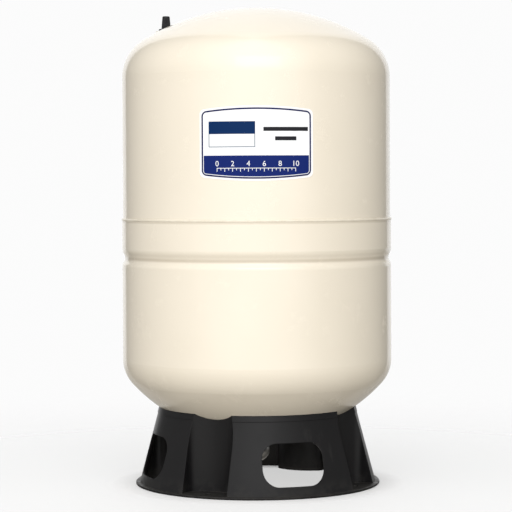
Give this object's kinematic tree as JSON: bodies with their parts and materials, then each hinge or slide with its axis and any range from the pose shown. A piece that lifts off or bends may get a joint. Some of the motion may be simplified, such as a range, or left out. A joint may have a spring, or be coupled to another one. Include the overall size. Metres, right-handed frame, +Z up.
{
  "type": "expansion vessel",
  "caption": "Upright steel expansion vessel with a rubber diaphragm, an air valve on its shoulder, and a moulded stand with windows and anchor holes.",
  "frame": {"origin": "on the floor, on the tank's vertical axis", "axes": "+Z up along the tank's axis, +Y the way the water outlet points, -Y, +X and -X through the stand's other windows"},
  "size_m": [0.4344, 0.4344, 0.7638],
  "materials": {
    "cream_paint": "gloss",
    "weld_paint": "gloss over a weld bead",
    "black_plastic": "satin moulded",
    "cap_plastic": "satin moulded",
    "liner_plastic": "satin moulded",
    "butyl": "matt",
    "black_rubber": "matt",
    "stainless": "brushed",
    "plain_steel": "rolled",
    "zinc_steel": "zinc plated",
    "brass": "machined",
    "spring_steel": "drawn",
    "label_film": "printed film"
  },
  "bodies": {
    "root": {"upper_shell": "cream_paint", "lower_shell": "cream_paint", "girth_weld": "weld_paint", "liner": "liner_plastic", "clench_ring": "plain_steel", "water_connection": "stainless", "outlet_gasket": "black_rubber", "inner_gasket": "black_rubber", "lock_nut": "brass", "stand": "black_plastic", "weld_studs": "zinc_steel", "stud_washers": "zinc_steel", "stud_nuts": "zinc_steel", "valve_socket": "plain_steel", "valve_washer": "black_rubber", "valve_stem": "brass", "valve_core": "brass", "core_seal": "black_rubber", "valve_spring": "spring_steel", "label": "label_film"},
    "valve_cap": {"valve_cap": "cap_plastic"},
    "cap_ring": {"cap_ring": "black_rubber"},
    "valve_pin": {"valve_pin": "brass", "pin_seal": "black_rubber"},
    "diaphragm": {"diaphragm": "butyl"}
  },
  "joints": [
    {"name": "cap_lift", "type": "slide", "parent": "root", "child": "cap_ring", "axis": [0, 0, 1], "range_m": [0, 0.0064]},
    {"name": "cap_turn", "type": "hinge", "parent": "cap_ring", "child": "valve_cap", "pos_m": [-0.12562, 0.08378, 0.743], "axis": [0, 0, 1], "range_deg": [0, 2880]},
    {"name": "pin_press", "type": "slide", "parent": "root", "child": "valve_pin", "axis": [0, 0, -1], "range_m": [0, 0.0015], "stiffness_N_per_m": 800, "springref_m": -0.003, "deforming": ["valve_spring"]},
    {"name": "diaphragm_travel", "type": "slide", "parent": "root", "child": "diaphragm", "axis": [0, 0, 1], "range_m": [0, 0.24], "deforming": ["diaphragm"]}
  ],
  "couplings": [
    {"joint": "cap_lift", "follows": "cap_turn", "m_per_rad": 0.00012732}
  ]
}
